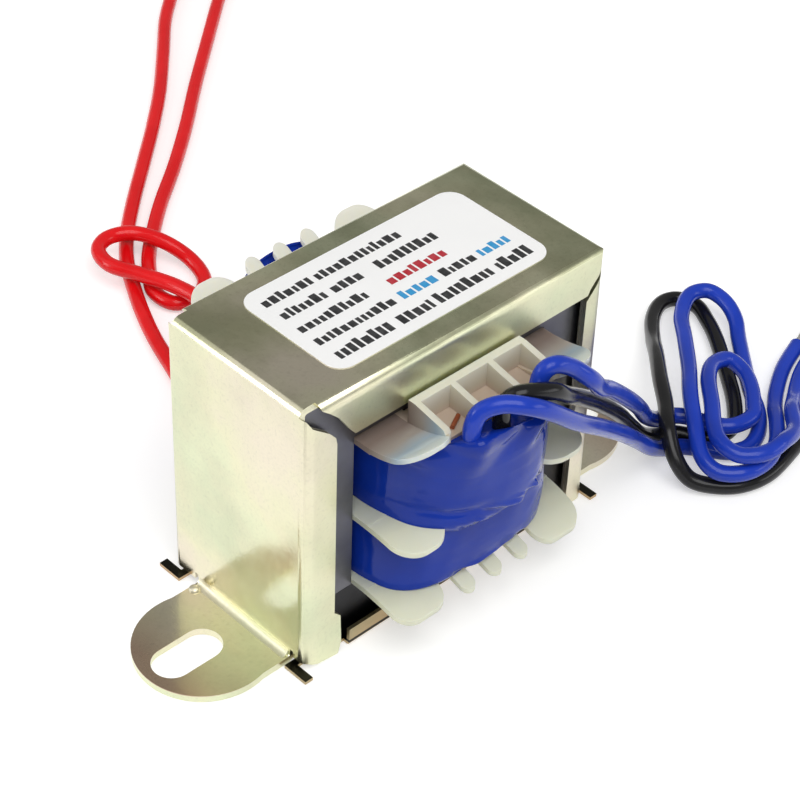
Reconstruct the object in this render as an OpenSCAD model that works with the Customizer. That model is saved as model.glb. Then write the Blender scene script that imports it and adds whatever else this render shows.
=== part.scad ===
// Laminated chassis transformer: an E-I core held in a folded channel frame
// with two slotted feet, a two-chamber bobbin, and five insulated leads.
// Units are millimetres. X runs along the feet, Y along the stack of sheets,
// Z up. The feet rest on Z = 0 and the origin is under the middle of the core.

/* [Core] */
// Length of one lamination, along X
core_l = 48; // [30:1:76]
// Height of the closed core, E and I together
core_h = 40; // [25:1:64]
// Depth of the stack of sheets, along Y
stack = 22.4; // [12:0.4:40]
// Width of the outer legs and yokes (the middle leg is twice this)
leg_w = 8; // [5:0.5:12]
// Number of interleaved packets in the stack
packets = 8; // [4:2:12]

/* [Frame] */
// Sheet thickness of the folded channel
sheet = 1; // [0.6:0.1:1.6]
// Outside bend radius of the channel
bend_r = 1.4; // [0.8:0.1:2.5]
// Gap between the stack and the folded lips
lip_gap = 0.6; // [0.2:0.1:1.5]
// Depth of the lip folded down from the top
top_lip = 6.6; // [4:0.2:9]
// Width of the lips folded from the left leg
left_lip = 4.8; // [2.5:0.1:6]
// Width of the lips folded from the right leg
right_lip = 3.1; // [2.5:0.1:6]

/* [Feet] */
// Distance between the two slot centres
slot_pitch = 68.4; // [60:0.2:110]
// Slot length, end to end
slot_l = 10.1; // [6:0.1:14]
// Slot width
slot_w = 5.4; // [3.2:0.1:6.5]
// Radius of the rounded end of a foot
foot_r = 9.1; // [7:0.1:12]
// Width of a foot where it leaves the leg
foot_w = 17.7; // [14:0.1:20]
// How far the feet sit towards the front of the core
foot_shift = 1.1; // [0:0.1:3]

/* [Bobbin] */
// Wall thickness of the moulded bobbin
wall = 0.8; // [0.6:0.1:1.5]
// Reach of the flange lobes from the middle of the core
lobe_y = 21; // [16:0.2:30]
// Height of the middle flange above the feet
mid_flange = 19.4; // [14:0.2:26]

/* [Windings] */
// Tape over the ends of the upper winding, which fills its flanges
upper_wrap = 1.6; // [0.6:0.1:3]
// Reach of the lower winding at the front
lower_reach = 19.7; // [17:0.1:26]
// Reach of the lower winding at the rear
lower_rear = 22.6; // [17:0.1:26]

/* [Leads] */
// Outside diameter of an insulated lead
lead_d = 2.3; // [1.2:0.1:2.6]
// Diameter of a stripped and tinned end
tip_d = 1.3; // [0.6:0.1:2]
// Length of a stripped end
tip_l = 5; // [2:0.5:10]

/* [Label] */
// Label length along X
label_l = 36; // [20:0.5:42]
// Label width along Y
label_w = 18.4; // [10:0.2:22]

/* [Hidden] */
$fn = 48;
plate_t = 0.5;
in_x = core_l / 2;
out_x = in_x + sheet;
plate_x = out_x - left_lip - 2.6;
ear = [3, 3.9];
ear_notch = [6.5, 4];
relief_h = 2.2;
relief_w = 0.6;
label_r = 2.5;
in_y = stack / 2 + lip_gap;
out_y = in_y + sheet;
core_z = plate_t;
in_z = core_z + core_h;
out_z = in_z + sheet;
lip_z = out_z - top_lip;
leg_z = 1.2;
end_x = slot_pitch / 2 - 2.7;
pk = stack / packets;
win_z0 = core_z + leg_w;
win_z1 = in_z - leg_w;
flange_z = win_z0 + 0.2;
top_z = win_z1 - 0.2 - wall;
tube_x = leg_w + 0.9;
tube_y = stack / 2 + 0.9;
lobe_x = core_l / 2 - leg_w;
bend_y = out_y - 0.8;
comb_x = leg_w + 1.3;
rib_y = lobe_y - 1.4;
floor_y = lobe_y - 2.4;
wall_y = out_y + 0.4;
lead_y = 20.7;
lay = lead_d / 2 + 0.05;
tape_top = top_z - 0.1;
upper_reach = lobe_y + upper_wrap;
upper_rear = upper_reach - 0.1;
upper_x = lobe_x - 1.8;
lower_x = lobe_x - 0.6;
film = 1;

// Routes of the leads, set by hand to half a millimetre; lay is a lead on the table.
// Each starts at its winding and ends beyond the knot.
blue_1 = [[-6, -lead_y, tape_top], [-6, -lead_y, 34.5], [-5, -21, 36.5], [-3, -22.5, 37.5],
    [-0.5, -24.5, 37], [3, -25, 34.5], [9, -24, 29], [17, -21.5, 22], [24, -19, 15.5],
    [30.5, -16.5, 9], [35, -15.5, 4.5], [38.5, -15, 2], [41.5, -16, lay], [43.5, -18.5, lay],
    [45.5, -21, lay], [48, -22, lay], [50.5, -21.5, lay], [53, -20, lay], [55.5, -17.5, lay],
    [58.5, -13.5, lay], [65, -6, 1.5], [67.5, -3, 2.5], [68.5, 0, 3.5], [68, 3, 4], [65, 4, 4],
    [60.5, 1.5, 4], [56, -3, 5], [50.5, -8.5, 6], [45, -13.5, 7], [41, -18, 6.5],
    [38.5, -21.5, 5], [38.5, -24.5, 4], [41, -27, 4], [45, -27.5, 4], [49, -26, 4],
    [53.5, -22.5, 3], [57.5, -19, 1.5], [61, -16.5, lay], [65.5, -14, lay], [71, -12, lay]];
black_1 = [[-1, -lead_y, tape_top], [-1, -lead_y, 34.5], [-0.5, -21.5, 36.5], [1, -22.5, 37],
    [4.5, -23.5, 36], [7.5, -23, 33.5], [12, -21, 29.5], [19.5, -18, 22.5], [27.5, -15, 14.5],
    [33, -13, 8], [37, -12, 3.5], [40, -12, 1.5], [42.5, -13, lay], [44, -15, lay],
    [45.5, -17, lay], [48, -18, lay], [50.5, -17.5, lay], [52.5, -16, lay], [55, -13.5, lay],
    [57.5, -10.5, lay], [63, -3.5, lay], [65.5, 0.5, lay], [67, 4, lay], [66, 7, lay],
    [63, 7.5, 1.5], [59, 5.5, 2], [54.5, 1.5, 3], [50, -3, 5], [45, -8, 6.5], [41, -12.5, 7],
    [37.5, -16, 7], [36, -19, 4.5], [36.5, -21.5, 2], [38.5, -24, lay], [41.5, -26.5, lay],
    [46, -27.5, lay], [52, -26.5, lay], [57, -25, lay], [62.5, -22.5, lay], [68.5, -20, lay]];
blue_2 = [[5, -lead_y, tape_top], [5, -lead_y, 35], [5.5, -21, 37], [7, -21.5, 37.5],
    [9.5, -22, 36], [12, -23, 33.5], [15, -22, 30], [19, -20.5, 26.5], [25.5, -18, 20],
    [32, -15, 13], [37, -12.5, 7], [40, -12, 4.5], [42.5, -12.5, 4], [44, -14, 4],
    [45, -16.5, 4], [46.5, -19, 4], [48.5, -20, 4], [51, -20, 4], [53, -18.5, 4],
    [55.5, -16, 4], [57.5, -13, 4], [57.5, -10, 4.5], [54, -10, 5.5], [50, -12.5, 6.5],
    [46, -16.5, 7], [42.5, -20, 7], [40.5, -23, 7], [41, -26, 6.5], [44, -28, 6.5],
    [47.5, -28, 6.5], [52, -26.5, 5], [56, -23, 4], [60.5, -20, 2], [65.5, -17, 1.5],
    [70.5, -15, lay], [75.5, -13.5, lay]];
red_1 = [[-6, 20, flange_z + wall + 0.1], [-6, 20, 7.5], [-6, 21.5, 5], [-5.5, 25, 3],
    [-4.5, 31, 1.5], [-2, 38, lay], [0, 44, lay], [2, 50, lay], [4.5, 56, lay],
    [7.5, 62, lay], [11, 68, lay], [15.5, 73.5, lay], [21.5, 79.5, lay], [28.5, 86, lay],
    [36, 93, lay], [44, 101, lay], [52, 110, lay], [59, 118, lay], [67, 125.5, lay]];
red_2 = [[0, 20, flange_z + wall + 0.1], [0, 20, 7.5], [0.5, 21.5, 5], [1.5, 25, 3],
    [3.5, 31, 2], [6.5, 37, 2], [9, 43, 3], [10.5, 49, 4], [10, 55, 4], [8, 60.5, 4],
    [6, 65.5, 4], [7, 69.5, 4], [10, 71, 4], [13.5, 69.5, 4], [16, 65.5, 3.5], [17.5, 61, 2],
    [16.5, 56.5, lay], [13, 54, lay], [9.5, 55, lay], [9, 59, lay], [11, 62.5, lay],
    [14, 66.5, lay], [18.5, 71, lay], [24, 76, lay], [32, 82.5, lay], [40.5, 90, lay],
    [49.5, 98.5, lay], [60, 108, lay], [70, 117, lay], [76, 122, lay]];

// Colours of the real pieces
steel = [0.62, 0.60, 0.50];
grey = [0.45, 0.45, 0.44];
nylon = [0.90, 0.90, 0.82];
copper = [0.75, 0.38, 0.20];
tape_blue = [0.10, 0.17, 0.60];
blue = [0.12, 0.22, 0.75];
red = [0.85, 0.08, 0.10];
black = [0.06, 0.06, 0.07];
tin = [0.78, 0.78, 0.76];

// ---- small helpers -------------------------------------------------------

function unit(v) = v / norm(v);
// Direction of a route at point i, the mean of the two neighbouring stretches
function along(p, i) = unit(
    i == 0 ? p[1] - p[0]
    : i == len(p) - 1 ? p[i] - p[i - 1]
    : unit(p[i] - p[i - 1]) + unit(p[i + 1] - p[i]));
// Side direction carried along the route, so the rings don't twist
function turned(s, t) = unit(s - (s * t) * t);
function sides(p, i) = i == 0
    ? [turned([0.31, 0.95, 0.02], along(p, 0))]
    : let (before = sides(p, i - 1)) concat(before, [turned(before[i - 1], along(p, i))]);

// Round tube with 8 sides, swept along a route
module lead(p, d) {
    n = len(p);
    s = sides(p, n - 1);
    ring = [for (i = [0:n - 1]) let (t = along(p, i), u = s[i], v = cross(t, u))
        for (k = [0:7]) p[i] + d / 2 * (cos(45 * k) * u + sin(45 * k) * v)];
    skin = [for (i = [0:n - 2]) for (k = [0:7]) let (j = (k + 1) % 8)
        each [[8 * i + k, 8 * i + 8 + k, 8 * i + 8 + j], [8 * i + k, 8 * i + 8 + j, 8 * i + j]]];
    start = [[for (k = [0:7]) k]];
    end = [[for (k = [7:-1:0]) 8 * (n - 1) + k]];
    polyhedron(ring, concat(start, skin, end), convexity = 8);
}

// Stripped end that carries on straight from the last point of a route
module tip(p) {
    n = len(p);
    t = along(p, n - 1);
    translate(p[n - 1])
        rotate([0, acos(t[2]), atan2(t[1], t[0])])
            cylinder(d = tip_d, h = tip_l, $fn = 24);
}

// Flat shape given in X and Z, made solid between y0 and y1
module in_xz(y0, y1) {
    translate([0, y1, 0]) rotate([90, 0, 0]) linear_extrude(y1 - y0) children();
}

// Flat shape given in Y and Z, made solid between x0 and x1
module in_yz(x0, x1) {
    translate([x0, 0, 0]) rotate([90, 0, 90]) linear_extrude(x1 - x0) children();
}

module both_y() {
    children();
    mirror([0, 1, 0]) children();
}

// Rectangle with rounded corners of radius r
module round_rect(lx, ly, r) {
    square([lx, ly - 2 * r], center = true);
    square([lx - 2 * r, ly], center = true);
    for (x = [-1, 1]) for (y = [-1, 1])
        translate([x * (lx / 2 - r), y * (ly / 2 - r)]) circle(r);
}

// Outline of a winding: full at the sides, bulging at front and back
module bulge(a, front, back, n) {
    polygon([for (k = [0:5:355]) let (c = cos(k), s = sin(k))
        [a * sign(c) * pow(abs(c), 2 / n),
         (s < 0 ? front : back) * sign(s) * pow(abs(s), 2 / n)]]);
}

// ---- frame ---------------------------------------------------------------

// Rounded box that the channel is folded from, r is its edge radius
module shell_form(x, y, z, r) {
    intersection() {
        in_xz(-y, y) translate([0, (z - 10) / 2]) round_rect(2 * x, z + 10, r);
        in_yz(-x, x) translate([0, (z - 10) / 2]) round_rect(2 * y, z + 10, r);
        translate([0, 0, -10]) linear_extrude(z + 10) round_rect(2 * x, 2 * y, r);
    }
}

// Lips of one face, with open mitres at the top corners
module lip_shapes() {
    lx = -out_x;
    rx = out_x;
    ll = -out_x + left_lip;
    rl = out_x - right_lip;
    polygon([[ll + 2.9, lip_z], [rl + 0.1, lip_z + 0.3], [rl + 0.5, lip_z + 1.1],
        [rx - 0.7, lip_z + 3.2], [rx - 0.25, lip_z + 4.3], [rx - 0.1, out_z - bend_r],
        [rx - 0.1, out_z + 1], [lx + 2.4, out_z + 1], [lx + 2.6, lip_z + 6],
        [lx + 3.6, lip_z + 5.2], [ll + 0.3, lip_z + 3.7], [ll + 2.3, lip_z + 0.7]]);
    polygon([[lx - 1, lip_z + 6.4], [lx + 0.4, lip_z + 5.4], [lx + 1, lip_z + 4.3],
        [lx + 2.1, lip_z + 3.4], [ll - 1.2, lip_z + 2.2], [ll - 0.2, lip_z + 1],
        [ll, lip_z], [ll, 7.4], [ll + 1, 6.4], [ll + 1.2, 1.8], [ll + 0.7, 0],
        [ll + 0.2, 0], [lx + 2, 0.4], [lx + 0.7, 1.1], [lx - 1, 1.3]]);
    polygon([[rx + 1, lip_z + 3.6], [rx - 0.1, lip_z + 3.4], [rx - 0.7, lip_z + 2.2],
        [rx - 2, lip_z + 0.6], [rl, lip_z - 0.6], [rl - 0.4, 1.1],
        [rl + 0.6, 0], [rx - 0.6, 0], [rx - 0.4, 1.2], [rx + 1, 1.3]]);
}

module foot() {
    // bend from the leg into the foot
    in_xz(-foot_shift - foot_w / 2, -foot_shift + foot_w / 2) {
        translate([in_x, bend_r]) square([sheet, 2]);
        intersection() {
            translate([out_x + bend_r - sheet, bend_r]) difference() {
                circle(bend_r);
                circle(bend_r - sheet);
            }
            translate([in_x, 0]) square([bend_r, bend_r]);
        }
    }
    // flat foot with its slot
    difference() {
        union() {
            translate([end_x, -foot_shift, 0]) cylinder(r = foot_r, h = sheet, $fn = 96);
            translate([in_x + bend_r, -foot_shift - foot_w / 2, 0])
                cube([end_x - in_x - bend_r, foot_w, sheet]);
        }
        translate([in_x + bend_r - 20, -20, -1]) cube([20, 40, 5]);
        translate([slot_pitch / 2, -foot_shift, -1]) {
            translate([(slot_w - slot_l) / 2, -slot_w / 2, 0]) cube([slot_l - slot_w, slot_w, 3]);
            for (s = [-1, 1]) translate([s * (slot_l - slot_w) / 2, 0, 0])
                cylinder(d = slot_w, h = 3);
        }
    }
}

module frame_bracket() {
    color(steel) {
        difference() {
            shell_form(out_x, out_y, out_z, bend_r);
            shell_form(in_x, in_y, in_z, bend_r - sheet);
            // square inside corners where the core sits
            translate([-in_x, -stack / 2 - 0.1, -1]) cube([2 * in_x, stack + 0.2, in_z + 1]);
            // below the leg, apart from the lips
            translate([-40, -out_y + bend_r, -20]) cube([80, 2 * (out_y - bend_r), 20 + leg_z]);
            // open front and back faces
            both_y() in_xz(-out_y - 1, -out_y + bend_r) difference() {
                translate([-40, -20]) square([80, 80]);
                lip_shapes();
            }
            // cleared for the bends of the feet
            for (s = [-1, 1]) translate([s * out_x - 2, -foot_shift - foot_w / 2, 0])
                cube([4, foot_w, bend_r + 0.6]);
            // relief notches at the ends of the foot bends
            for (s = [-1, 1]) for (e = [-1, 1])
                translate([s * out_x - 2, -foot_shift + (e * (foot_w + relief_w) - relief_w) / 2, 0])
                    cube([4, relief_w, relief_h]);
        }
        foot();
        mirror([1, 0, 0]) foot();
    }
}

// Closing plate under the core: hooked ears at the corners, lips front and back
module bottom_plate() {
    color([0.35, 0.28, 0.18]) {
        linear_extrude(plate_t) difference() {
            union() {
                square([2 * (in_x - 0.6), 2 * (in_y - 0.1)], center = true);
                square([2 * plate_x, 2 * (out_y - plate_t)], center = true);
                for (s = [-1, 1]) for (e = [-1, 1])
                    translate([s * (out_x - 0.3), e * (out_y - 0.55)]) square(ear, center = true);
            }
            for (s = [-1, 1]) for (e = [-1, 1])
                translate([s * (out_x - 3.3), e * (out_y + 0.55)]) square(ear_notch, center = true);
        }
        both_y() in_yz(-plate_x, plate_x) {
            difference() {
                translate([-out_y, 0]) square([1, 2.75]);
                translate([-out_y + plate_t, plate_t]) square([1, 3]);
                difference() {
                    translate([-out_y - 1, -1]) square(1.6);
                    translate([-out_y + 0.6, 0.6]) circle(0.6, $fn = 24);
                }
            }
        }
    }
}

// ---- core ----------------------------------------------------------------

// One E with its yoke at the top
module e_shape() {
    translate([-core_l / 2, in_z - leg_w]) square([core_l, leg_w]);
    for (x = [-core_l / 2, core_l / 2 - leg_w])
        translate([x, win_z0]) square([leg_w, core_h - 2 * leg_w]);
    translate([-leg_w, win_z0]) square([2 * leg_w, core_h - 2 * leg_w]);
}

module i_shape() {
    translate([-core_l / 2, core_z]) square([core_l, leg_w]);
}

module flipped() {
    translate([0, 2 * core_z + core_h]) mirror([0, 1]) children();
}

// Every second packet, starting at first
module packet_row(first) {
    for (k = [first:2:packets - 1])
        in_xz(-stack / 2 + k * pk + 0.02, -stack / 2 + (k + 1) * pk - 0.02) children();
}

module laminations_e_up() {
    color(grey) packet_row(0) e_shape();
}

module laminations_i_bottom() {
    color([0.16, 0.16, 0.17]) packet_row(0) i_shape();
}

module laminations_e_down() {
    color(grey) packet_row(1) flipped() e_shape();
}

module laminations_i_top() {
    color(grey) packet_row(1) flipped() i_shape();
}

// ---- bobbin and windings ---------------------------------------------------

// Plate that runs level, then curves up or down to reach rise at lobe_y
module curved_band(z, rise, x) {
    run = lobe_y - bend_y;
    curve = [for (k = [0:12]) [bend_y + run * k / 10, z + rise * pow(k / 10, 2)]];
    in_yz(-x, x) polygon(concat([[0, z]], curve,
        [for (k = [12:-1:0]) curve[k] + [0, wall]], [[0, z + wall]]));
}

// Lobe beside the middle of one end, with corners of radius r
module lobe(side, z, rise, r) {
    intersection() {
        translate([0, 0, z - 8]) linear_extrude(16 + wall)
            translate([side * (leg_w + lobe_x) / 2, lobe_y / 2 + 4])
                round_rect(lobe_x - leg_w, lobe_y - 8, r);
        curved_band(z, rise, lobe_x + 1);
    }
}

// Flange round the leg. Its four lobes rise by front and back, each [left, right],
// and its middle reaches front_y and back_y.
module flange(z, front, back, front_y, back_y, r) {
    difference() {
        union() {
            translate([-lobe_x + 0.2, -stack / 2 - 0.1, z])
                cube([2 * lobe_x - 0.4, stack + 0.2, wall]);
            translate([-lobe_x, stack / 2 + 0.1, z]) cube([2 * lobe_x, 2.6, wall]);
            translate([-lobe_x, -stack / 2 - 2.7, z]) cube([2 * lobe_x, 2.6, wall]);
            translate([-comb_x, -front_y, z]) cube([2 * comb_x, front_y + back_y, wall]);
            for (k = [0, 1]) {
                lobe(2 * k - 1, z, back[k], r);
                mirror([0, 1, 0]) lobe(2 * k - 1, z, front[k], r);
            }
        }
        translate([-leg_w - 0.1, -stack / 2 - 0.1, z - 1])
            cube([2 * leg_w + 0.2, stack + 0.2, wall + 2]);
    }
}

// Back wall and four ribs that keep the soldered ends apart
module comb() {
    translate([-comb_x, wall_y, 0]) cube([2 * comb_x, 1.2, 3.5]);
    for (x = [-comb_x + 0.45, -comb_x / 3, comb_x / 3, comb_x - 0.45])
        in_yz(x - 0.45, x + 0.45)
            polygon([[wall_y, 0], [rib_y - 0.4, 0], [rib_y, 0.5], [rib_y, 2.1],
                [rib_y - 0.4, 2.6], [wall_y + 1.2, 3.5], [wall_y, 3.5]]);
}

// Three tongues with round ends
module tongues(z, rise) {
    intersection() {
        translate([0, 0, z - 8]) linear_extrude(16 + wall)
            for (x = [-comb_x / 2, 0, comb_x / 2]) {
                translate([x - 1.15, bend_y + 0.2]) square([2.3, lobe_y - bend_y - 1.15]);
                translate([x, lobe_y - 0.95]) circle(1.15, $fn = 32);
            }
        curved_band(z, rise, comb_x);
    }
}

module bobbin() {
    color(nylon) {
        difference() {
            translate([-tube_x, -tube_y, flange_z])
                cube([2 * tube_x, 2 * tube_y, top_z + wall - flange_z]);
            translate([-leg_w - 0.1, -stack / 2 - 0.1, 0])
                cube([2 * leg_w + 0.2, stack + 0.2, 50]);
        }
        flange(top_z, [2.8, 2.3], [2.9, 2.9], floor_y, wall_y + 0.2, 3.4);
        flange(mid_flange, [-1, 0.15], [-1, 0.15], lobe_y - 4, lobe_y - 4, 3.4);
        flange(flange_z, [-1.4, -2.7], [-1.4, -1.4], wall_y + 0.2, floor_y, 2.6);
        // comb at the top front, tongues at the top back
        mirror([0, 1, 0]) translate([0, 0, top_z + wall]) comb();
        tongues(top_z, 2.8);
        // tongues at the bottom front, comb at the bottom back
        mirror([0, 1, 0]) tongues(flange_z, -1.6);
        translate([0, 0, flange_z]) mirror([0, 0, 1]) comb();
    }
}

// Ring between the bobbin tube and an outline
module around_tube(z0, z1) {
    difference() {
        translate([0, 0, z0]) linear_extrude(z1 - z0) children();
        translate([-tube_x - 0.02, -tube_y - 0.02, z0 - 1])
            cube([2 * tube_x + 0.04, 2 * tube_y + 0.04, z1 - z0 + 2]);
    }
}

low_z0 = flange_z + wall + 0.1;
low_z1 = mid_flange - 1.4;
up_z0 = mid_flange + wall + 0.2;

module primary_winding() {
    color(copper) around_tube(low_z0 + 0.2, low_z1 - 0.2)
        bulge(lower_x - film - 0.2, lower_reach - film - 0.2, lower_rear - film - 0.2, 3.4);
}

module secondary_winding() {
    color(copper) around_tube(up_z0 + 0.2, tape_top - 0.2)
        bulge(upper_x - film, lobe_y, lobe_y - 0.1, 2.5);
}

module lower_tape() {
    color(tape_blue) difference() {
        translate([0, 0, low_z0]) linear_extrude(low_z1 - low_z0)
            bulge(lower_x, lower_reach, lower_rear, 3.4);
        translate([0, 0, low_z0 - 1]) linear_extrude(low_z1 - low_z0 + 2)
            bulge(lower_x - film - 0.18, lower_reach - film - 0.18, lower_rear - film - 0.18, 3.4);
    }
}

module upper_tape() {
    color(tape_blue) {
        difference() {
            translate([0, 0, up_z0]) linear_extrude(tape_top - up_z0)
                bulge(upper_x, upper_reach, upper_rear, 2.5);
            translate([0, 0, up_z0 - 1]) linear_extrude(tape_top - up_z0 + 2)
                bulge(upper_x - film + 0.02, lobe_y + 0.02, lobe_y - 0.08, 2.5);
        }
        // lower edge that hangs over the cut-back middle flange
        intersection() {
            translate([0, 0, mid_flange - 0.8]) linear_extrude(up_z0 - mid_flange + 0.8)
                difference() {
                    bulge(upper_x, upper_reach, upper_rear, 2.5);
                    bulge(upper_x - film, lobe_y, upper_rear, 2.5);
                }
            translate([-leg_w + 0.4, -upper_reach - 5, 0])
                cube([2 * leg_w - 0.8, upper_reach + 8 - lobe_y, out_z]);
        }
    }
}

// Bare end of a winding that lies in the left pocket of the comb
module winding_tail() {
    color(copper) translate([-6.2, -lobe_y + 3.4, top_z + wall + 0.3]) rotate([0, 90, 28])
        cylinder(d = 0.6, h = 2.4, $fn = 16);
}

// ---- leads -----------------------------------------------------------------

module blue_lead_1() {
    color(blue) lead(blue_1, lead_d);
}

module black_lead() {
    color(black) lead(black_1, lead_d);
}

module blue_lead_2() {
    color(blue) lead(blue_2, lead_d);
}

module red_lead_1() {
    color(red) lead(red_1, lead_d);
}

module red_lead_2() {
    color(red) lead(red_2, lead_d);
}

module blue_tip_1() {
    color(tin) tip(blue_1);
}

module black_tip() {
    color(tin) tip(black_1);
}

module blue_tip_2() {
    color(tin) tip(blue_2);
}

module red_tip_1() {
    color(tin) tip(red_1);
}

module red_tip_2() {
    color(tin) tip(red_2);
}

// Thin sticker on the top of the frame
module rating_label() {
    color([0.96, 0.96, 0.96]) translate([0.95, -0.2, out_z])
        linear_extrude(0.15) round_rect(label_l, label_w, label_r);
}

frame_bracket();
bottom_plate();
laminations_e_up();
laminations_e_down();
laminations_i_bottom();
laminations_i_top();
bobbin();
primary_winding();
secondary_winding();
lower_tape();
upper_tape();
winding_tail();
blue_lead_1();
black_lead();
blue_lead_2();
red_lead_1();
red_lead_2();
blue_tip_1();
black_tip();
blue_tip_2();
red_tip_1();
red_tip_2();
rating_label();
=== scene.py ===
# %% [markdown]
# # Laminated chassis transformer
# The looks of a small mains transformer: a folded, yellow-passivated steel
# channel with slotted feet, a nylon bobbin wound in blue tape, and five leads.
# The CAD frame gives every place and size. Lengths are in millimetres where a
# name ends in `_mm`, and are turned into metres as each piece is made. Values
# that a material compares with Object coordinates are in metres.

# %% Load the frame
import math

import bmesh
import bpy
import numpy as np
from mathutils import Matrix, Vector


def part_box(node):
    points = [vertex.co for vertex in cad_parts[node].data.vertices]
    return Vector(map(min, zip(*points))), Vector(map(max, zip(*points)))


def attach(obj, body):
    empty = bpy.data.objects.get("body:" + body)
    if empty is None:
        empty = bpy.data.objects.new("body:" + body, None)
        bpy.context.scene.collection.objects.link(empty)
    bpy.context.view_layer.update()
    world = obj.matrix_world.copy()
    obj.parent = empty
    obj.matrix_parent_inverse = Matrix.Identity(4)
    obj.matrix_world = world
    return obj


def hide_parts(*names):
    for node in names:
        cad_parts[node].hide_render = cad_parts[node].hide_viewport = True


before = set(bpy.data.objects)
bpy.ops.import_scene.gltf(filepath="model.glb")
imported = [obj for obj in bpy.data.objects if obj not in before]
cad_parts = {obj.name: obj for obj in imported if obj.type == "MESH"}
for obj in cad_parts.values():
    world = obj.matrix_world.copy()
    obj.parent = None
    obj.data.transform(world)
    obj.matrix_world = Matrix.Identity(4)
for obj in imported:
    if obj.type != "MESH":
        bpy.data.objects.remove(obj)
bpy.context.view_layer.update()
print("nodes in the frame:", len(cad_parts))

# %% [markdown]
# ## Camera
# The transformer is seen from the front left and above, from about 30 cm. A
# camera can be turned with Euler angles or with a Track To constraint. Here its
# three axes are worked out from an azimuth and an elevation and put in a
# matrix, because then the roll and the small shift in its own plane stay plain
# numbers, and no empty object is needed.


# %% Camera
def camera_at(azimuth, elevation, roll, distance_mm, target_mm, shift_mm, lens):
    """Places the scene's camera, with angles in degrees. Its back axis points
    away from the target by azimuth and elevation, its right axis is level and
    its up axis is square to both, and these two are turned by the roll. It
    stands distance_mm from the target along the back axis, and shift_mm off
    it in its own plane."""
    a, e, r = (math.radians(v) for v in (azimuth, elevation, roll))
    back = Vector((math.sin(a) * math.cos(e), -math.cos(a) * math.cos(e), math.sin(e)))
    right = Vector((math.cos(a), math.sin(a), 0))
    up = back.cross(right)
    side = math.cos(r) * right + math.sin(r) * up
    top = math.cos(r) * up - math.sin(r) * right
    place = Vector(target_mm) + back * distance_mm + side * shift_mm[0] + top * shift_mm[1]
    data = bpy.data.cameras.new("camera")
    data.sensor_width = 36
    data.lens = lens
    data.clip_start = 0.01
    camera = bpy.data.objects.new("camera", data)
    turn = Matrix((side, top, back)).transposed().to_4x4()
    camera.matrix_world = Matrix.Translation(place / 1000) @ turn
    bpy.context.collection.objects.link(camera)
    bpy.context.scene.camera = camera
    return camera


camera = camera_at(azimuth=-44.663, elevation=39.771, roll=2.15, distance_mm=307.874,
                   target_mm=(0, 0, 20), shift_mm=(1.749, 1.84), lens=109.15)
print("camera at, in mm:", [round(1000 * v) for v in camera.matrix_world.translation])

# %% [markdown]
# ## Tools for materials
# Steel, nylon, PVC and tape differ in colour, gloss and grain, not in the kind
# of shader. Image textures would need pictures and a UV map for each piece.
# Every material here is a small node tree on a Principled shader instead, and
# its patterns read Object coordinates, which are metres in the frame, so a
# noise scale of 400 has features a few millimetres across on every piece.


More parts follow.
